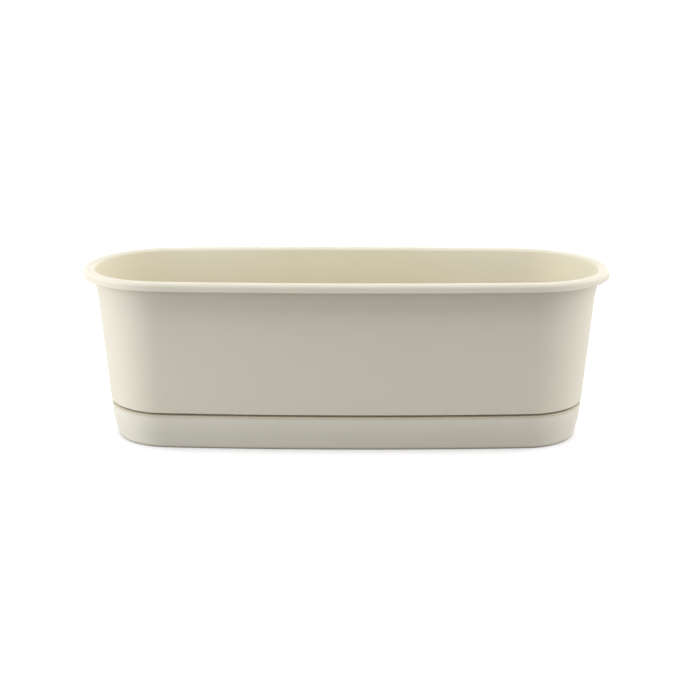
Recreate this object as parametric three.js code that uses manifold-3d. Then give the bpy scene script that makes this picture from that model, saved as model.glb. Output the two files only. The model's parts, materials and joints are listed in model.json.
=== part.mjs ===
// An oval window-box plant pot: a drafted shell with a rolled rim, standing in a flush drip saucer.
// Millimetres, +Z up. The origin is the middle of the footprint, on the surface that the saucer stands on.

import * as THREE from "three";
import { mergeVertices } from "three/addons/utils/BufferGeometryUtils.js";
import Module from "manifold-3d";

const wasm = await Module();
wasm.setup();

// Overall sizes, measured over the rim
const LENGTH = 400;
const WIDTH = 138;
const HEIGHT = 132.7;
const SIDE_BOW = 3.9; // the middle of a long side stands this far outside its two ends

// Pot wall and rim
const POT_WALL = 1.8;
const POT_DRAFT = THREE.MathUtils.degToRad(4.15);
const FLARE_HEIGHT = 22.2; // from the crest down to where the wall starts to flare
const FLARE_DRAFT = THREE.MathUtils.degToRad(10);
const FLARE_ROUND = 50;
const RIM_OVERHANG = 7.4; // from the wall's outer face out to the rim's skirt
const RIM_DROP = 6.3; // from the crest down to the skirt's lower edge
const RIM_WALL = 2;
const RIM_DRAFT = THREE.MathUtils.degToRad(4); // the skirt leans in towards the crest
const RIM_OUTER_ROUND = 3.2;
const RIM_INNER_ROUND = 3;
const LIP_ROUND = 0.6; // outer edge under the skirt
const LIP_INNER_ROUND = 0.4;
const CHANNEL_ROUND = 1.5; // where the channel under the rim meets the wall

// Saucer
const SAUCER_HEIGHT = 27.6;
const SAUCER_WALL = 2.2;
const SAUCER_BEND_HEIGHT = 16.6; // the wall follows the pot's line above this height and tapers in below it
const SAUCER_TAPER = THREE.MathUtils.degToRad(12.4);
const SAUCER_BEND_ROUND = 45;
const SAUCER_SETBACK = 0.25; // the saucer's wall lies this far inside the pot's line
const SAUCER_FLOOR = 2;
const SAUCER_FOOT_DEPTH = 1.5;
const SAUCER_FOOT_WIDTH = 7;
const SAUCER_BASE_ROUND = 2;
const SAUCER_EDGE_ROUND = 1.6;
const SAUCER_EDGE_INNER_ROUND = 0.4;
const SAUCER_FILLET = 2.5; // between the saucer's wall and floor

// Where the pot meets the saucer
const SHADOW_GAP = 1.5; // open line between the saucer's edge and the pot's shoulder
const SPIGOT_CLEARANCE = 2; // between the saucer's wall and the part of the pot that drops into it
const SEAT_GAP = 0.3;
const LOCATOR_HEIGHT = 3; // oval ring on the saucer's floor that centres the pot's foot
const LOCATOR_WIDTH = 1.6;
const LOCATOR_CLEARANCE = 0.8;
const LOCATOR_ROUND = 0.5;

// Pot floor
const POT_FLOOR = 2.2;
const FLOOR_LIFT = 8; // from the foot's lower edge up to the floor's underside
const FLOOR_FILLET = 4;
const FOOT_WIDTH = 2.4;
const SHOULDER_ROUND = 0.3;
const LEDGE_ROUND = 1.2;
const RIB_WIDTH = 1.6;
const RIB_HEIGHT = 3;
const DRAIN_DIAMETER = 9;
const DRAIN_PITCH = 60;
const DRAIN_ROW_OFFSET = 22; // from the middle line to each row of drain holes
const DRAIN_END_MARGIN = 45; // the least distance from an end column of holes to the end of the floor
const NOTCH_WIDTH = 14;
const NOTCH_HEIGHT = 3.5;
const NOTCH_ROUND = 1.5;

// Facets
const END_STEPS = 22;
const SIDE_STEPS = 8;
const HOLE_STEPS = 20;
const NOTCH_STEPS = 4;
const ROUND_SAG = 0.06; // a rounding's facets stay this close to its true arc
const ROUND_SHARE = 0.96; // the roundings at a run's two ends take at most this share of it

const PLASTIC = { color: 0xece6d4, roughness: 0.55, metalness: 0 };

// Heights
const saucerFloorZ = SAUCER_FOOT_DEPTH + SAUCER_FLOOR;
const seatZ = saucerFloorZ + SEAT_GAP;
const shoulderZ = SAUCER_HEIGHT + SHADOW_GAP;
const ledgeZ = shoulderZ + POT_WALL;
const floorUndersideZ = seatZ + FLOOR_LIFT;
const floorZ = floorUndersideZ + POT_FLOOR;
const skirtZ = HEIGHT - RIM_DROP;
const channelZ = HEIGHT - RIM_WALL;
const flareZ = HEIGHT - FLARE_HEIGHT;

// Every outline is the rim's outer edge moved inwards by an inset, and the insets follow these wall lines.
function wallInset(z) {
  const flared = RIM_OVERHANG + (skirtZ - Math.max(z, flareZ)) * Math.tan(FLARE_DRAFT);
  return flared + Math.max(0, flareZ - z) * Math.tan(POT_DRAFT);
}

function innerWallInset(z) {
  return wallInset(z) + POT_WALL / Math.cos(POT_DRAFT);
}

function skirtInset(z) {
  return (z - skirtZ) * Math.tan(RIM_DRAFT);
}

function saucerInset(z) {
  const flush = wallInset(Math.max(z, SAUCER_BEND_HEIGHT)) + SAUCER_SETBACK;
  return flush + Math.max(0, SAUCER_BEND_HEIGHT - z) * Math.tan(SAUCER_TAPER);
}

function innerSaucerInset(z) {
  return saucerInset(z) + SAUCER_WALL / Math.cos(SAUCER_TAPER);
}

// The spigot is the pot's lower part. It drops into the saucer and tapers straight down to its foot.
const spigotTopInset = innerSaucerInset(SAUCER_HEIGHT) + SPIGOT_CLEARANCE;
const spigotFootInset = innerSaucerInset(seatZ) + SPIGOT_CLEARANCE;
const spigotTaper = Math.atan((spigotFootInset - spigotTopInset) / (SAUCER_HEIGHT - seatZ));

function spigotInset(z) {
  return spigotFootInset - (z - seatZ) * Math.tan(spigotTaper);
}

function innerSpigotInset(z) {
  return spigotInset(z) + POT_WALL / Math.cos(spigotTaper);
}

const footInset = spigotFootInset + FOOT_WIDTH;
const flatFloorInset = innerSpigotInset(floorZ) + 2 * FLOOR_FILLET; // the floor is flat from here inwards

// Seen from above the rim is an oval of four arcs: two end rounds and two long sides that bow outwards.
function ovalStations() {
  const endRadius = WIDTH / 2 - SIDE_BOW;
  const endCentre = LENGTH / 2 - endRadius;
  const sideRadius = (endCentre ** 2 + (WIDTH / 2) ** 2 - endRadius ** 2) / (2 * SIDE_BOW);
  const sideCentre = sideRadius - WIDTH / 2;
  const join = Math.atan2(sideCentre, endCentre);
  const arcs = [
    { x: endCentre, y: 0, radius: endRadius, from: -join, to: join, steps: END_STEPS },
    { x: 0, y: -sideCentre, radius: sideRadius, from: join, to: Math.PI - join, steps: SIDE_STEPS },
    { x: -endCentre, y: 0, radius: endRadius, from: Math.PI - join, to: Math.PI + join, steps: END_STEPS },
    { x: 0, y: sideCentre, radius: sideRadius, from: join - Math.PI, to: -join, steps: SIDE_STEPS },
  ];
  return arcs.flatMap(({ x, y, radius, from, to, steps }) =>
    Array.from({ length: steps }, (_, step) => {
      const angle = from + ((to - from) * step) / steps;
      const outward = new THREE.Vector2(Math.cos(angle), Math.sin(angle));
      return { edge: outward.clone().multiplyScalar(radius).add(new THREE.Vector2(x, y)), outward };
    })
  );
}

const stations = ovalStations();

function ovalOutline(inset) {
  return stations.map(({ edge, outward }) => edge.clone().addScaledVector(outward, -inset));
}

// How far from each corner [inset, z, radius] its arc starts. Two arcs too large for the run between them
// share it in proportion.
function cornerReaches(corners, places) {
  const wanted = corners.map(([, , radius], index) => {
    if (!radius) return 0;
    const back = places[index - 1].clone().sub(places[index]);
    const ahead = places[index + 1].clone().sub(places[index]);
    return radius / Math.tan(back.angleTo(ahead) / 2);
  });
  const fit = (from, to) => {
    const asked = wanted[from] + wanted[to];
    return Math.min(1, (ROUND_SHARE * places[from].distanceTo(places[to])) / asked);
  };
  return wanted.map((reach, index) => {
    if (!reach) return 0;
    return reach * Math.min(fit(index - 1, index), fit(index, index + 1));
  });
}

// Straight runs between corners [inset, z, radius], with an arc of that radius at each corner that has one.
function roundedProfile(corners) {
  const places = corners.map(([inset, z]) => new THREE.Vector2(inset, z));
  return cornerReaches(corners, places).flatMap((reach, index) => {
    const corner = places[index];
    if (!reach) return [corner];
    const back = places[index - 1].clone().sub(corner).normalize();
    const ahead = places[index + 1].clone().sub(corner).normalize();
    const half = back.angleTo(ahead) / 2;
    const start = corner.clone().addScaledVector(back, reach);
    const end = corner.clone().addScaledVector(ahead, reach);
    const bisector = back.add(ahead).normalize();
    const centre = corner.clone().addScaledVector(bisector, reach / Math.cos(half));
    const turn = Math.sign(start.clone().sub(centre).cross(end.clone().sub(centre))) * (Math.PI - 2 * half);
    const facet = 2 * Math.acos(1 - ROUND_SAG / start.distanceTo(centre));
    const steps = Math.ceil(Math.abs(turn) / facet);
    return Array.from({ length: steps + 1 }, (_, step) =>
      start.clone().rotateAround(centre, (turn * step) / steps)
    );
  });
}

// A closed skin round the oval: one ring for each profile point, with the first and last rings capped flat.
// The profile runs from the underside, up the outside and back down the inside.
function ovalLoft(profile) {
  const positions = profile.flatMap(({ x: inset, y: z }) =>
    ovalOutline(inset).flatMap(({ x, y }) => [x, y, z])
  );
  const around = stations.length;
  const triangles = [];
  for (let ring = 0; ring < profile.length - 1; ring += 1) {
    for (let station = 0; station < around; station += 1) {
      const low = ring * around + station;
      const lowNext = ring * around + ((station + 1) % around);
      triangles.push(low, lowNext, lowNext + around, low, lowNext + around, low + around);
    }
  }
  const firstCap = THREE.ShapeUtils.triangulateShape(ovalOutline(profile[0].x), []);
  for (const [a, b, c] of firstCap) triangles.push(a, c, b);
  const lastRing = (profile.length - 1) * around;
  const lastCap = THREE.ShapeUtils.triangulateShape(ovalOutline(profile.at(-1).x), []);
  for (const [a, b, c] of lastCap) triangles.push(a + lastRing, b + lastRing, c + lastRing);
  const geometry = new THREE.BufferGeometry();
  geometry.setAttribute("position", new THREE.Float32BufferAttribute(positions, 3));
  geometry.setIndex(triangles);
  return geometry;
}

function solidOf(geometry) {
  const bare = geometry.clone().deleteAttribute("normal").deleteAttribute("uv");
  const merged = mergeVertices(bare);
  const mesh = new wasm.Mesh({
    numProp: 3,
    vertProperties: new Float32Array(merged.attributes.position.array),
    triVerts: new Uint32Array(merged.index.array),
  });
  return new wasm.Manifold(mesh);
}

function geometryOf(solid) {
  const { vertProperties, triVerts } = solid.getMesh();
  const geometry = new THREE.BufferGeometry();
  geometry.setAttribute("position", new THREE.Float32BufferAttribute(vertProperties, 3));
  geometry.setIndex(Array.from(triVerts));
  return geometry;
}

// Columns of drain holes along the floor, as many as fit on either side of the middle.
function drainColumns() {
  const reach = LENGTH / 2 - innerSpigotInset(floorZ) - DRAIN_END_MARGIN;
  const perSide = Math.floor(reach / DRAIN_PITCH);
  return Array.from({ length: 2 * perSide + 1 }, (_, column) => (column - perSide) * DRAIN_PITCH);
}

function potShell() {
  return ovalLoft(
    roundedProfile([
      [footInset, floorUndersideZ],
      [footInset, seatZ],
      [spigotFootInset, seatZ, SHOULDER_ROUND],
      [spigotInset(shoulderZ), shoulderZ, SHOULDER_ROUND],
      [wallInset(shoulderZ), shoulderZ, SHOULDER_ROUND],
      [wallInset(flareZ), flareZ, FLARE_ROUND],
      [wallInset(channelZ), channelZ, CHANNEL_ROUND],
      [skirtInset(channelZ) + RIM_WALL, channelZ, RIM_OUTER_ROUND - RIM_WALL],
      [RIM_WALL, skirtZ, LIP_INNER_ROUND],
      [0, skirtZ, LIP_ROUND],
      [skirtInset(HEIGHT), HEIGHT, RIM_OUTER_ROUND],
      [innerWallInset(HEIGHT), HEIGHT, RIM_INNER_ROUND],
      [innerWallInset(flareZ), flareZ, FLARE_ROUND + POT_WALL],
      [innerWallInset(ledgeZ), ledgeZ, LEDGE_ROUND],
      [innerSpigotInset(ledgeZ), ledgeZ, LEDGE_ROUND],
      [innerSpigotInset(floorZ), floorZ, FLOOR_FILLET],
      [flatFloorInset, floorZ],
    ])
  );
}

// An arched notch through both sides of the foot at one column, so that water runs out into the saucer.
function footNotch(x) {
  const half = NOTCH_WIDTH / 2;
  const arch = new THREE.Shape();
  arch.moveTo(-half, -SEAT_GAP);
  arch.lineTo(half, -SEAT_GAP);
  arch.lineTo(half, NOTCH_HEIGHT - NOTCH_ROUND);
  arch.absarc(half - NOTCH_ROUND, NOTCH_HEIGHT - NOTCH_ROUND, NOTCH_ROUND, 0, Math.PI / 2);
  arch.absarc(NOTCH_ROUND - half, NOTCH_HEIGHT - NOTCH_ROUND, NOTCH_ROUND, Math.PI / 2, Math.PI);
  const across = { depth: WIDTH, bevelEnabled: false, curveSegments: NOTCH_STEPS };
  const geometry = new THREE.ExtrudeGeometry(arch, across);
  return geometry.translate(0, 0, -WIDTH / 2).rotateX(Math.PI / 2).translate(x, 0, seatZ);
}

function drainHole(x, y) {
  const radius = DRAIN_DIAMETER / 2;
  const geometry = new THREE.CylinderGeometry(radius, radius, 2 * POT_FLOOR, HOLE_STEPS);
  return geometry.rotateX(Math.PI / 2).translate(x, y, floorZ - POT_FLOOR / 2);
}

// One rib along the middle of the floor's underside and one across it between each two columns of holes.
// Their ends and tops are buried in the foot and the floor.
function floorRibs(columns) {
  const height = RIB_HEIGHT + POT_FLOOR / 2;
  const middle = floorUndersideZ - RIB_HEIGHT + height / 2;
  const across = [columns[0] - DRAIN_PITCH, ...columns].map((x) => x + DRAIN_PITCH / 2);
  const ribs = across.map((x) => new THREE.BoxGeometry(RIB_WIDTH, WIDTH, height).translate(x, 0, middle));
  ribs.push(new THREE.BoxGeometry(LENGTH, RIB_WIDTH, height).translate(0, 0, middle));
  const buried = footInset - FOOT_WIDTH / 2;
  const inside = ovalLoft([new THREE.Vector2(buried, seatZ), new THREE.Vector2(buried, floorZ)]);
  return ribs.map(solidOf).reduce((grid, rib) => grid.add(rib)).intersect(solidOf(inside));
}

function makePot() {
  const columns = drainColumns();
  let solid = solidOf(potShell());
  for (const x of columns) solid = solid.subtract(solidOf(footNotch(x)));
  solid = solid.add(floorRibs(columns));
  for (const x of columns) {
    for (const y of [-DRAIN_ROW_OFFSET, DRAIN_ROW_OFFSET]) solid = solid.subtract(solidOf(drainHole(x, y)));
  }
  const geometry = geometryOf(solid).translate(0, 0, -seatZ);
  const pot = new THREE.Mesh(geometry, new THREE.MeshStandardMaterial(PLASTIC));
  pot.name = "pot";
  pot.position.z = seatZ;
  return pot;
}

function makeSaucer() {
  const locatorOuter = footInset + LOCATOR_CLEARANCE;
  const locatorInner = locatorOuter + LOCATOR_WIDTH;
  const locatorZ = saucerFloorZ + LOCATOR_HEIGHT;
  const footInner = saucerInset(0) + SAUCER_FOOT_WIDTH;
  const geometry = ovalLoft(
    roundedProfile([
      [footInner, SAUCER_FOOT_DEPTH],
      [footInner, 0],
      [saucerInset(0), 0, SAUCER_BASE_ROUND],
      [saucerInset(SAUCER_BEND_HEIGHT), SAUCER_BEND_HEIGHT, SAUCER_BEND_ROUND],
      [saucerInset(SAUCER_HEIGHT), SAUCER_HEIGHT, SAUCER_EDGE_ROUND],
      [innerSaucerInset(SAUCER_HEIGHT), SAUCER_HEIGHT, SAUCER_EDGE_INNER_ROUND],
      [innerSaucerInset(SAUCER_BEND_HEIGHT), SAUCER_BEND_HEIGHT, SAUCER_BEND_ROUND - SAUCER_WALL],
      [innerSaucerInset(saucerFloorZ), saucerFloorZ, SAUCER_FILLET],
      [locatorOuter, saucerFloorZ],
      [locatorOuter, locatorZ, LOCATOR_ROUND],
      [locatorInner, locatorZ, LOCATOR_ROUND],
      [locatorInner, saucerFloorZ],
    ])
  );
  const saucer = new THREE.Mesh(geometry, new THREE.MeshStandardMaterial(PLASTIC));
  saucer.name = "saucer";
  return saucer;
}

const planter = new THREE.Group();
planter.add(makeSaucer(), makePot());

export default planter;
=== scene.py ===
"""Looks for the oval plant pot and its saucer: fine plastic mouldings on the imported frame, in metres."""

import json
import math

import bmesh
import bpy
from mathutils import Matrix, Vector


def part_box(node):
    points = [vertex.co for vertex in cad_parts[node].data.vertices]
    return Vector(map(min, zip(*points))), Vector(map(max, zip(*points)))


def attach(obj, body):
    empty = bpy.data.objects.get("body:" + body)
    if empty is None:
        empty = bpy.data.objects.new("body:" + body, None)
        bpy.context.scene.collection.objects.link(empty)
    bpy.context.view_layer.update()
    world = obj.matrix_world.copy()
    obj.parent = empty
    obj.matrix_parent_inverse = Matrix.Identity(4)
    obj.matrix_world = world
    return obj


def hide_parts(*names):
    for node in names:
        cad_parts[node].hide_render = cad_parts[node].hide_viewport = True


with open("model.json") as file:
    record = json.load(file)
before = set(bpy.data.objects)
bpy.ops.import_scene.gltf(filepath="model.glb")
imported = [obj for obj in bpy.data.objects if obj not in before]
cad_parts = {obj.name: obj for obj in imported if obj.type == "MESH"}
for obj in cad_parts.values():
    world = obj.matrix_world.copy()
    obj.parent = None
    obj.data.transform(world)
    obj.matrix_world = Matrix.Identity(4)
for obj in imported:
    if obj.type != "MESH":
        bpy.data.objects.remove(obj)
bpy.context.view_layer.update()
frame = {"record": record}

pot_low, pot_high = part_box("pot")
saucer_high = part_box("saucer")[1]
mounts = {mount["name"]: mount for mount in frame["record"]["mounts"]}

# Overall sizes, from the frame
HALF_LENGTH = pot_high.x
HALF_WIDTH = pot_high.y
CREST_Z = pot_high.z
SEAT_Z = pot_low.z
SAUCER_Z = saucer_high.z
FLOOR_Z = mounts["inner_floor"]["pos_m"][2]
SIDE_BOW = 0.0039

# Pot wall and rim
POT_WALL = 0.0018
POT_DRAFT = math.radians(4.15)
FLARE_HEIGHT = 0.0222
FLARE_DRAFT = math.radians(10)
FLARE_ROUND = 0.05
RIM_OVERHANG = 0.0074
RIM_DROP = 0.0063
RIM_WALL = 0.002
RIM_DRAFT = math.radians(4)
RIM_OUTER_ROUND = 0.0032
RIM_INNER_ROUND = 0.003
LIP_ROUND = 0.0006
LIP_INNER_ROUND = 0.0004
CHANNEL_ROUND = 0.0015

# Saucer
SAUCER_WALL = 0.0022
SAUCER_TAPER = math.radians(12.4)
SAUCER_BEND_Z = 0.0166
SAUCER_BEND_ROUND = 0.045
SAUCER_SETBACK = 0.00025
SAUCER_FLOOR = 0.002
SAUCER_FOOT_DEPTH = 0.0015
SAUCER_FOOT_WIDTH = 0.007
SAUCER_BASE_ROUND = 0.002
SAUCER_EDGE_ROUND = 0.0016
SAUCER_EDGE_INNER_ROUND = 0.0004
SAUCER_FILLET = 0.0025
LOCATOR_HEIGHT = 0.003
LOCATOR_WIDTH = 0.0016
LOCATOR_CLEARANCE = 0.0008
LOCATOR_ROUND = 0.0005

# Pot floor and the part of the pot inside the saucer
SHADOW_GAP = 0.0015
SPIGOT_CLEARANCE = 0.002
POT_FLOOR = 0.0022
FLOOR_FILLET = 0.004
FOOT_WIDTH = 0.0024
SHOULDER_ROUND = 0.0003
LEDGE_ROUND = 0.0012
RIB_WIDTH = 0.0016
RIB_HEIGHT = 0.003
DRAIN_RADIUS = 0.0045
DRAIN_PITCH = 0.06
DRAIN_ROW_OFFSET = 0.022
DRAIN_COLUMNS = (-2, -1, 0, 1, 2)
DRAIN_EDGE = 0.0005
NOTCH_WIDTH = 0.014
NOTCH_HEIGHT = 0.0035
NOTCH_ROUND = 0.0015

# Mesh fineness
END_STEPS = 96
SIDE_STEPS = 48
ROUND_STEP = math.radians(6)
ROUND_SHARE = 0.96  # the roundings at a run's two ends take at most this share of it
DRAIN_STEPS = 48
SHARP_ANGLE = math.radians(35)

# Camera, fitted to the photograph's outlines in its 700 pixel frame
FRAME_PIXELS = 700
FOCAL_PIXELS = 1284.14
SENSOR_MM = 36
CAMERA_DISTANCE = 1.0
CAMERA_ELEVATION = math.radians(16.513)
CAMERA_AZIMUTH = math.radians(0.249)
CAMERA_ROLL = math.radians(0.127)
ORBIT_CENTRE = Vector((0, 0, 0.062))
AIM = Vector((0.00276, 0.0006, 0.06434))

# Studio
POT_MIDDLE = Vector((0, 0, CREST_Z / 2))
FLOOR_HALF_WIDTH = 1.2
FLOOR_FRONT = -0.42
FLOOR_BACK = 1.3
FLOOR_COLOUR = (0.5, 0.5, 0.5, 1)
FLOOR_SHOWN = 0.75  # a glow that is seen but lights nothing
CONTACT_REACH = 0.024  # the glow fades within this distance of the pot
CONTACT_DEPTH = 0.92  # how steeply it fades
END_DEPTH = 0.45  # and how steeply at the pot's ends, which the side lamps light up
ROOM_LIGHT = 0.087
ROOM_SHOWN = 1.1
WHITE = (1, 1, 1)
COOL = (0.93, 0.95, 1)
ROSE = (1, 0.98, 0.995)
SOFTBOXES = {  # place, size, power and colour
    "front_top_softbox": ((0, -0.55, 1.4), (1.8, 0.6), 9.8, WHITE),
    "back_top_softbox": ((0, 0.6, 1.4), (1.8, 0.8), 7.8, WHITE),
    "back_low_softbox": ((0, 1.8, 0.3), (2.4, 0.5), 19.0, WHITE),
    "back_right_softbox": ((1.3, 1.1, 0.6), (0.9, 0.9), 5.6, WHITE),
    "left_softbox": ((-1.5, -0.1, 0.6), (1.2, 1.2), 11.5, COOL),
    "right_softbox": ((1.5, -0.1, 0.6), (1.2, 1.2), 12.4, ROSE),
    "left_low_softbox": ((-1.3, -0.2, 0.2), (0.8, 0.35), 4.2, COOL),
    "right_low_softbox": ((1.3, -0.2, 0.2), (0.8, 0.35), 2.4, COOL),
    "front_left_softbox": ((-1.0, -1.1, 0.6), (0.9, 0.9), 4.2, WHITE),
}

# Plastic
SPECULAR_LEVEL = 0.25
ROUGHNESS_RANGE = (0.52, 0.66)
FLOW_NOISE = {"Scale": 14, "Detail": 3, "Roughness": 0.55}
SHEEN_NOISE = {"Scale": 70, "Detail": 4, "Roughness": 0.6}
SCUFF_NOISE = {"Scale": 260, "Detail": 3, "Roughness": 0.6}
GRAIN_NOISE = {"Scale": 1400, "Detail": 2, "Roughness": 0.5}
GRAIN_BUMP = {"Strength": 0.5, "Distance": 0.00004}
# A piece's two creams are the ends of its flow marks.
POT_CREAMS = ((0.834, 0.791, 0.668, 1), (0.809, 0.763, 0.632, 1))
SAUCER_CREAMS = ((0.827, 0.793, 0.688, 1), (0.802, 0.765, 0.651, 1))
INSIDE_SHADE_CREAM = (0.782, 0.731, 0.571, 1)  # painted shade: darker and warmer, for the light that bounces round inside the pot
INSIDE_LEANS = (-0.3, -0.8)  # where the painted shade starts and is full, from 0 for level to -1 for facing inwards
WORN_CREAM = (0.87, 0.835, 0.72, 1)
WEAR_COVER = 0.5
WEAR_REACH = 0.002
WEAR_MATCH = 0.9  # how alike the surface's facing and its softened facing are where wear is full
SCUFF_RANGE = (0.4, 0.65)  # the scuffs' noise where wear starts, and where it is full
BEVEL_SAMPLES = 4
# Brown painted shade where shadow falls: under the pot's edge at the seam, and along the feet
SHADE_BROWN = (0.36, 0.28, 0.145, 1)
SHADE_BROWN_COVER = 0.65
SEAM_SHADE = 0.003  # how far the painted shade reaches down from the seam
FOOT_SHADE = 0.0025  # how far the painted contact shade reaches up from where a piece stands

SHOULDER_Z = SAUCER_Z + SHADOW_GAP
LEDGE_Z = SHOULDER_Z + POT_WALL
SKIRT_Z = CREST_Z - RIM_DROP
FLARE_Z = CREST_Z - FLARE_HEIGHT
CHANNEL_Z = CREST_Z - RIM_WALL
FLOOR_UNDERSIDE_Z = FLOOR_Z - POT_FLOOR
SAUCER_FLOOR_Z = SAUCER_FOOT_DEPTH + SAUCER_FLOOR


# Every outline is the rim's outer edge moved inwards by an inset, and the insets follow these wall lines.
def wall_inset(z):
    """The wall's outer face: drafted, with a wider flare just below the rim."""
    upper = RIM_OVERHANG + (SKIRT_Z - max(z, FLARE_Z)) * math.tan(FLARE_DRAFT)
    return upper + max(0, FLARE_Z - z) * math.tan(POT_DRAFT)


def inner_wall_inset(z):
    return wall_inset(z) + POT_WALL / math.cos(POT_DRAFT)


def skirt_inset(z):
    return (z - SKIRT_Z) * math.tan(RIM_DRAFT)


def saucer_inset(z):
    """The saucer carries the pot's wall line on down to its bend, then flares inwards to its foot."""
    upper = wall_inset(max(z, SAUCER_BEND_Z)) + SAUCER_SETBACK
    return upper + max(0, SAUCER_BEND_Z - z) * math.tan(SAUCER_TAPER)


def inner_saucer_inset(z):
    return saucer_inset(z) + SAUCER_WALL / math.cos(SAUCER_TAPER)


SPIGOT_TOP_INSET = inner_saucer_inset(SAUCER_Z) + SPIGOT_CLEARANCE
SPIGOT_FOOT_INSET = inner_saucer_inset(SEAT_Z) + SPIGOT_CLEARANCE
SPIGOT_TAPER = math.atan((SPIGOT_FOOT_INSET - SPIGOT_TOP_INSET) / (SAUCER_Z - SEAT_Z))


def spigot_inset(z):
    return SPIGOT_FOOT_INSET - (z - SEAT_Z) * math.tan(SPIGOT_TAPER)


def inner_spigot_inset(z):
    return spigot_inset(z) + POT_WALL / math.cos(SPIGOT_TAPER)


FOOT_INSET = spigot_inset(SEAT_Z) + FOOT_WIDTH
FLAT_FLOOR_INSET = inner_spigot_inset(FLOOR_Z) + 2 * FLOOR_FILLET


def oval_stations():
    """Points and outward directions round the rim's oval of four arcs, anticlockwise from the right end."""
    end_radius = HALF_WIDTH - SIDE_BOW
    end_centre = HALF_LENGTH - end_radius
    side_radius = (end_centre ** 2 + HALF_WIDTH ** 2 - end_radius ** 2) / (2 * SIDE_BOW)
    side_centre = side_radius - HALF_WIDTH
    join = math.atan2(side_centre, end_centre)
    arcs = (
        (end_centre, 0, end_radius, -join, join, END_STEPS),
        (0, -side_centre, side_radius, join, math.pi - join, SIDE_STEPS),
        (-end_centre, 0, end_radius, math.pi - join, math.pi + join, END_STEPS),
        (0, side_centre, side_radius, join - math.pi, -join, SIDE_STEPS),
    )
    stations = []
    for x, y, radius, start, end, steps in arcs:
        for step in range(steps):
            angle = start + (end - start) * step / steps
            outward = Vector((math.cos(angle), math.sin(angle)))
            stations.append((Vector((x, y)) + radius * outward, outward))
    return stations


STATIONS = oval_stations()


def corner_reaches(corners, places):
    """How far from each corner (inset, z, radius) its arc starts.

    Two arcs too large for the run between them share it in proportion.
    """
    wanted = [0] * len(corners)
    for index, (_, _, *radius) in enumerate(corners):
        if radius:
            back = places[index - 1] - places[index]
            ahead = places[index + 1] - places[index]
            wanted[index] = radius[0] / math.tan(back.angle(ahead) / 2)
    fits = []
    for index, (low, high) in enumerate(zip(places, places[1:])):
        asked = wanted[index] + wanted[index + 1]
        fits.append(min(1, ROUND_SHARE * (high - low).length / asked) if asked else 1)
    return [reach and reach * min(fits[index - 1], fits[index]) for index, reach in enumerate(wanted)]


def rounded_profile(corners):
    """Straight runs between corners (inset, z, radius), with an arc at each corner that has a radius."""
    places = [Vector(corner[:2]) for corner in corners]
    profile = []
    for index, reach in enumerate(corner_reaches(corners, places)):
        corner = places[index]
        if not reach:
            profile.append(corner)
            continue
        back = (places[index - 1] - corner).normalized()
        ahead = (places[index + 1] - corner).normalized()
        half = back.angle(ahead) / 2
        centre = corner + (back + ahead).normalized() * (reach / math.cos(half))
        arm = corner + back * reach - centre
        end_arm = corner + ahead * reach - centre
        turn = math.copysign(math.pi - 2 * half, arm.cross(end_arm))
        steps = math.ceil(abs(turn) / ROUND_STEP)
        for step in range(steps + 1):
            profile.append(centre + Matrix.Rotation(turn * step / steps, 2) @ arm)
    return profile


def skin(mesh, rings):
    """Joins rings of vertices one after another, and caps the first and the last."""
    for low, high in zip(rings, rings[1:]):
        for station in range(len(low)):
            mesh.faces.new((low[station - 1], low[station], high[station], high[station - 1]))
    mesh.faces.new(reversed(rings[0]))
    mesh.faces.new(rings[-1])


def oval_loft(profile):
    """A closed bmesh round the oval, with one ring for each profile point."""
    mesh = bmesh.new()
    rings = []
    for inset, z in profile:
        points = (edge - outward * inset for edge, outward in STATIONS)
        rings.append([mesh.verts.new((point.x, point.y, z)) for point in points])
    skin(mesh, rings)
    return mesh


def new_object(name, mesh):
    data = bpy.data.meshes.new(name)
    mesh.to_mesh(data)
    mesh.free()
    piece = bpy.data.objects.new(name, data)
    bpy.context.scene.collection.objects.link(piece)
    return piece


def combine(piece, tool, operation):
    """Joins or cuts a piece with a closed tool, then removes the tool."""
    modifier = piece.modifiers.new(operation, "BOOLEAN")
    modifier.operation = operation
    modifier.solver = "EXACT"
    modifier.object = tool
    depsgraph = bpy.context.evaluated_depsgraph_get()
    result = bpy.data.meshes.new_from_object(piece.evaluated_get(depsgraph))
    piece.modifiers.clear()
    old = piece.data
    piece.data = result
    result.name = piece.name
    bpy.data.meshes.remove(old)
    bpy.data.meshes.remove(tool.data)


def smooth(piece):
    piece.data.shade_smooth()
    piece.data.set_sharp_from_angle(angle=SHARP_ANGLE)


def prism(mesh, outline, direction):
    """Adds a closed prism to a bmesh: a ring of points swept along a direction."""
    low = [mesh.verts.new(point) for point in outline]
    high = [mesh.verts.new(point + direction) for point in outline]
    skin(mesh, (low, high))


def box_between(mesh, low, high):
    corners = ((low.x, low.y), (high.x, low.y), (high.x, high.y), (low.x, high.y))
    prism(mesh, [Vector((x, y, low.z)) for x, y in corners], Vector((0, 0, high.z - low.z)))


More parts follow.
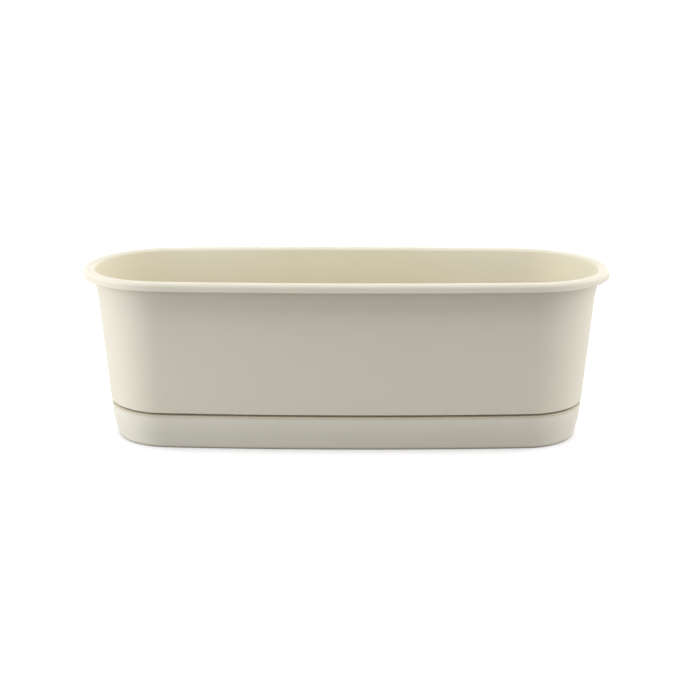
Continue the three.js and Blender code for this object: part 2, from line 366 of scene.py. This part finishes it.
def drain_cutter():
    """A flared plug at each drain hole, so that the hole's two edges come out eased."""
    mesh = bmesh.new()
    over = POT_FLOOR
    profile = (
        (DRAIN_RADIUS + DRAIN_EDGE + over, FLOOR_UNDERSIDE_Z - over),
        (DRAIN_RADIUS, FLOOR_UNDERSIDE_Z + DRAIN_EDGE),
        (DRAIN_RADIUS, FLOOR_Z - DRAIN_EDGE),
        (DRAIN_RADIUS + DRAIN_EDGE + over, FLOOR_Z + over),
    )
    turns = [2 * math.pi * step / DRAIN_STEPS for step in range(DRAIN_STEPS)]
    for column in DRAIN_COLUMNS:
        for side in (-1, 1):
            centre = Vector((column * DRAIN_PITCH, side * DRAIN_ROW_OFFSET, 0))
            rings = []
            for radius, z in profile:
                points = [Vector((radius * math.cos(turn), radius * math.sin(turn), z)) for turn in turns]
                rings.append([mesh.verts.new(centre + point) for point in points])
            skin(mesh, rings)
    return new_object("drain_cutter", mesh)


def notch_cutter():
    """Arched bars across the foot at each column of drain holes."""
    mesh = bmesh.new()
    half = NOTCH_WIDTH / 2
    corners = ((half, -NOTCH_HEIGHT), (half, NOTCH_HEIGHT, NOTCH_ROUND), (-half, NOTCH_HEIGHT, NOTCH_ROUND),
               (-half, -NOTCH_HEIGHT))
    arch = rounded_profile(corners)
    for column in DRAIN_COLUMNS:
        outline = [Vector((column * DRAIN_PITCH + x, HALF_WIDTH, SEAT_Z + z)) for x, z in arch]
        prism(mesh, outline, Vector((0, -2 * HALF_WIDTH, 0)))
    return new_object("notch_cutter", mesh)


def floor_ribs():
    """Stiffening ribs under the pot's floor, trimmed to the foot that they run into."""
    mesh = bmesh.new()
    low_z = FLOOR_UNDERSIDE_Z - RIB_HEIGHT
    high_z = FLOOR_UNDERSIDE_Z + POT_FLOOR / 2
    half = RIB_WIDTH / 2
    box_between(mesh, Vector((-HALF_LENGTH, -half, low_z)), Vector((HALF_LENGTH, half, high_z)))
    ribs = new_object("floor_ribs", mesh)
    for column in (DRAIN_COLUMNS[0] - 1, *DRAIN_COLUMNS):
        x = (column + 0.5) * DRAIN_PITCH
        cross = bmesh.new()
        box_between(cross, Vector((x - half, -HALF_WIDTH, low_z)), Vector((x + half, HALF_WIDTH, high_z)))
        combine(ribs, new_object("cross_rib", cross), "UNION")
    buried = FOOT_INSET - FOOT_WIDTH / 2
    inside = oval_loft((Vector((buried, SEAT_Z)), Vector((buried, FLOOR_Z))))
    combine(ribs, new_object("inside", inside), "INTERSECT")
    return ribs


def make_pot():
    profile = rounded_profile((
        (FOOT_INSET, FLOOR_UNDERSIDE_Z),
        (FOOT_INSET, SEAT_Z),
        (spigot_inset(SEAT_Z), SEAT_Z, SHOULDER_ROUND),
        (spigot_inset(SHOULDER_Z), SHOULDER_Z, SHOULDER_ROUND),
        (wall_inset(SHOULDER_Z), SHOULDER_Z, SHOULDER_ROUND),
        (wall_inset(FLARE_Z), FLARE_Z, FLARE_ROUND),
        (wall_inset(CHANNEL_Z), CHANNEL_Z, CHANNEL_ROUND),
        (skirt_inset(CHANNEL_Z) + RIM_WALL, CHANNEL_Z, RIM_OUTER_ROUND - RIM_WALL),
        (RIM_WALL, SKIRT_Z, LIP_INNER_ROUND),
        (0, SKIRT_Z, LIP_ROUND),
        (skirt_inset(CREST_Z), CREST_Z, RIM_OUTER_ROUND),
        (inner_wall_inset(CREST_Z), CREST_Z, RIM_INNER_ROUND),
        (inner_wall_inset(FLARE_Z), FLARE_Z, FLARE_ROUND + POT_WALL),
        (inner_wall_inset(LEDGE_Z), LEDGE_Z, LEDGE_ROUND),
        (inner_spigot_inset(LEDGE_Z), LEDGE_Z, LEDGE_ROUND),
        (inner_spigot_inset(FLOOR_Z), FLOOR_Z, FLOOR_FILLET),
        (FLAT_FLOOR_INSET, FLOOR_Z),
    ))
    pot = new_object("pot_moulding", oval_loft(profile))
    combine(pot, notch_cutter(), "DIFFERENCE")
    combine(pot, floor_ribs(), "UNION")
    combine(pot, drain_cutter(), "DIFFERENCE")
    smooth(pot)
    return pot


def make_saucer():
    locator_outer = FOOT_INSET + LOCATOR_CLEARANCE
    locator_inner = locator_outer + LOCATOR_WIDTH
    locator_z = SAUCER_FLOOR_Z + LOCATOR_HEIGHT
    foot_inner = saucer_inset(0) + SAUCER_FOOT_WIDTH
    profile = rounded_profile((
        (foot_inner, SAUCER_FOOT_DEPTH),
        (foot_inner, 0),
        (saucer_inset(0), 0, SAUCER_BASE_ROUND),
        (saucer_inset(SAUCER_BEND_Z), SAUCER_BEND_Z, SAUCER_BEND_ROUND),
        (saucer_inset(SAUCER_Z), SAUCER_Z, SAUCER_EDGE_ROUND),
        (inner_saucer_inset(SAUCER_Z), SAUCER_Z, SAUCER_EDGE_INNER_ROUND),
        (inner_saucer_inset(SAUCER_BEND_Z), SAUCER_BEND_Z, SAUCER_BEND_ROUND - SAUCER_WALL),
        (inner_saucer_inset(SAUCER_FLOOR_Z), SAUCER_FLOOR_Z, SAUCER_FILLET),
        (locator_outer, SAUCER_FLOOR_Z),
        (locator_outer, locator_z, LOCATOR_ROUND),
        (locator_inner, locator_z, LOCATOR_ROUND),
        (locator_inner, SAUCER_FLOOR_Z),
    ))
    saucer = new_object("saucer_moulding", oval_loft(profile))
    smooth(saucer)
    return saucer


class Nodes:
    """A short way to add linked shader nodes to one material or world."""

    def __init__(self, owner, shader):
        owner.use_nodes = True
        self.tree = owner.node_tree
        self.shader = self.tree.nodes[shader]

    def feed(self, socket, value):
        """Links an input to another node's output, or sets it to a plain value."""
        if isinstance(value, bpy.types.NodeSocket):
            self.tree.links.new(value, socket)
        else:
            socket.default_value = value

    def shade(self, name, value):
        self.feed(self.shader.inputs[name], value)

    def add(self, kind, inputs=None, **settings):
        node = self.tree.nodes.new(kind)
        for name, value in settings.items():
            setattr(node, name, value)
        for name, value in (inputs or {}).items():
            self.feed(node.inputs[name], value)
        return node

    def numbers(self, operation, *values):
        return self.add("ShaderNodeMath", dict(enumerate(values)), operation=operation).outputs["Value"]

    def vectors(self, operation, *values, output="Vector"):
        return self.add("ShaderNodeVectorMath", dict(enumerate(values)), operation=operation).outputs[output]

    def noise(self, place, settings):
        return self.add("ShaderNodeTexNoise", {"Vector": place, **settings}).outputs["Fac"]

    def ramp(self, value, start, end, low=0, high=1):
        """A number that goes from low to high as the value goes from start to end."""
        inputs = {"Value": value, "From Min": start, "From Max": end, "To Min": low, "To Max": high}
        return self.add("ShaderNodeMapRange", inputs).outputs["Result"]

    def blend(self, factor, first, second):
        node = self.add("ShaderNodeMix", {"Factor": factor}, data_type="RGBA")
        sockets = {socket.identifier: socket for socket in (*node.inputs, *node.outputs)}
        self.feed(sockets["A_Color"], first)
        self.feed(sockets["B_Color"], second)
        return sockets["Result_Color"]


def plastic(name, creams, shade_bands):
    """Satin moulded plastic with grain, flow marks, uneven sheen and worn edges, and with painted shade: a
    darker, warmer inside and brown bands at the seam and the feet.

    Each band of painted shade is the heights where it starts and where it is strongest.
    """
    material = bpy.data.materials.new(name)
    nodes = Nodes(material, "Principled BSDF")
    coordinates = nodes.add("ShaderNodeTexCoord").outputs
    place = coordinates["Object"]
    height = nodes.add("ShaderNodeSeparateXYZ", {"Vector": place}).outputs["Z"]
    cream = nodes.blend(nodes.noise(place, FLOW_NOISE), *creams)
    # painted shade and bounced light on the walls inside the pot
    cream = nodes.blend(painted_inside_shade(nodes, coordinates, height), cream, INSIDE_SHADE_CREAM)
    cream = nodes.blend(worn_edges(nodes, place), cream, WORN_CREAM)
    # bands of painted shade, darkest at the seam or the foot
    for shade_start_z, shade_full_z in shade_bands:
        cream = nodes.blend(nodes.ramp(height, shade_start_z, shade_full_z, high=SHADE_BROWN_COVER), cream, SHADE_BROWN)
    nodes.shade("Base Color", cream)
    nodes.shade("Roughness", nodes.ramp(nodes.noise(place, SHEEN_NOISE), 0, 1, *ROUGHNESS_RANGE))
    nodes.shade("Specular IOR Level", SPECULAR_LEVEL)
    bump = nodes.add("ShaderNodeBump", {"Height": nodes.noise(place, GRAIN_NOISE), **GRAIN_BUMP})
    nodes.shade("Normal", bump.outputs["Normal"])
    return material


def painted_inside_shade(nodes, coordinates, height):
    """Where a wall faces the middle of the pot, below the rim's rounding: where the inside's painted shade
    goes.
    """
    level = nodes.vectors("MULTIPLY", coordinates["Object"], (1, 1, 0))
    outward = nodes.vectors("NORMALIZE", level)
    lean = nodes.vectors("DOT_PRODUCT", coordinates["Normal"], outward, output="Value")
    below = nodes.ramp(height, CREST_Z, CREST_Z - RIM_INNER_ROUND)
    return nodes.numbers("MULTIPLY", nodes.ramp(lean, *INSIDE_LEANS), below)


def worn_edges(nodes, place):
    """Where the surface turns sharply within the wear's reach, broken up by scuffs."""
    facing = nodes.add("ShaderNodeNewGeometry").outputs["Normal"]
    softened = nodes.add("ShaderNodeBevel", {"Radius": WEAR_REACH}, samples=BEVEL_SAMPLES).outputs["Normal"]
    match = nodes.vectors("DOT_PRODUCT", facing, softened, output="Value")
    edge = nodes.ramp(match, 1, WEAR_MATCH)
    cover = nodes.ramp(nodes.noise(place, SCUFF_NOISE), *SCUFF_RANGE, high=WEAR_COVER)
    return nodes.numbers("MULTIPLY", edge, cover)


def add_softbox(name, place, size, power, colour):
    """A rectangular light that faces the middle of the pot."""
    light = bpy.data.lights.new(name, "AREA")
    light.shape = "RECTANGLE"
    light.size, light.size_y = size
    light.energy = power
    light.color = colour
    lamp = bpy.data.objects.new(name, light)
    lamp.location = place
    lamp.rotation_euler = (POT_MIDDLE - lamp.location).to_track_quat("-Z", "Y").to_euler()
    lamp.visible_camera = False
    bpy.context.scene.collection.objects.link(lamp)


def make_camera():
    data = bpy.data.cameras.new("camera")
    data.sensor_width = SENSOR_MM
    data.lens = SENSOR_MM * FOCAL_PIXELS / FRAME_PIXELS
    camera = bpy.data.objects.new("camera", data)
    level = CAMERA_DISTANCE * math.cos(CAMERA_ELEVATION)
    offset = Vector((level * math.sin(CAMERA_AZIMUTH), -level * math.cos(CAMERA_AZIMUTH),
                     CAMERA_DISTANCE * math.sin(CAMERA_ELEVATION)))
    camera.location = ORBIT_CENTRE + offset
    level_turn = (AIM - camera.location).to_track_quat("-Z", "Y").to_matrix()
    camera.rotation_euler = (level_turn @ Matrix.Rotation(CAMERA_ROLL, 3, "Z")).to_euler()
    bpy.context.scene.collection.objects.link(camera)
    bpy.context.scene.camera = camera


def glow_level(nodes, light, shown):
    """A strength that lights the scene at one level and is seen at another."""
    return nodes.ramp(nodes.add("ShaderNodeLightPath").outputs["Is Camera Ray"], 0, 1, light, shown)


def make_floor():
    """A white table that ends just in front of the picture, with a glow that fades close round the pot."""
    mesh = bmesh.new()
    corners = ((-FLOOR_HALF_WIDTH, FLOOR_FRONT), (FLOOR_HALF_WIDTH, FLOOR_FRONT),
               (FLOOR_HALF_WIDTH, FLOOR_BACK), (-FLOOR_HALF_WIDTH, FLOOR_BACK))
    mesh.faces.new([mesh.verts.new((x, y, 0)) for x, y in corners])
    floor = new_object("floor", mesh)
    material = bpy.data.materials.new("floor_white")
    nodes = Nodes(material, "Principled BSDF")
    nodes.shade("Base Color", FLOOR_COLOUR)
    nodes.shade("Roughness", 1)
    nodes.shade("Specular IOR Level", 0)
    nodes.shade("Emission Color", (*WHITE, 1))
    place = nodes.add("ShaderNodeTexCoord").outputs["Object"]
    aside = nodes.numbers("ABSOLUTE", nodes.add("ShaderNodeSeparateXYZ", {"Vector": place}).outputs["X"])
    depth = nodes.ramp(aside, HALF_LENGTH - HALF_WIDTH, HALF_LENGTH, CONTACT_DEPTH, END_DEPTH)
    openness = nodes.add("ShaderNodeAmbientOcclusion", {"Distance": CONTACT_REACH}).outputs["AO"]
    fade = nodes.numbers("POWER", openness, depth)
    glow = glow_level(nodes, light=0, shown=FLOOR_SHOWN)
    nodes.shade("Emission Strength", nodes.numbers("MULTIPLY", glow, fade))
    floor.data.materials.append(material)


def make_world():
    """Soft grey light from all round, behind a plain white background."""
    world = bpy.data.worlds.new("studio")
    nodes = Nodes(world, "Background")
    nodes.shade("Color", (*WHITE, 1))
    nodes.shade("Strength", glow_level(nodes, ROOM_LIGHT, ROOM_SHOWN))
    bpy.context.scene.world = world


def make_stage():
    make_floor()
    make_world()
    for name, softbox in SOFTBOXES.items():
        add_softbox(name, *softbox)
    bpy.context.scene.view_settings.view_transform = "Standard"


def dress(piece, node, slot, creams, shade_bands):
    piece.data.materials.clear()
    piece.data.materials.append(plastic(slot, creams, shade_bands))
    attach(piece, node)
    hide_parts(node)


make_camera()
make_stage()
# painted shade at the pot's foot, and at the saucer's seam and foot
dress(make_pot(), "pot", "pot_plastic", POT_CREAMS, [(SEAT_Z + FOOT_SHADE, SEAT_Z)])
dress(make_saucer(), "saucer", "saucer_plastic", SAUCER_CREAMS,
      [(SAUCER_Z - SEAM_SHADE, SAUCER_Z), (FOOT_SHADE, 0)])
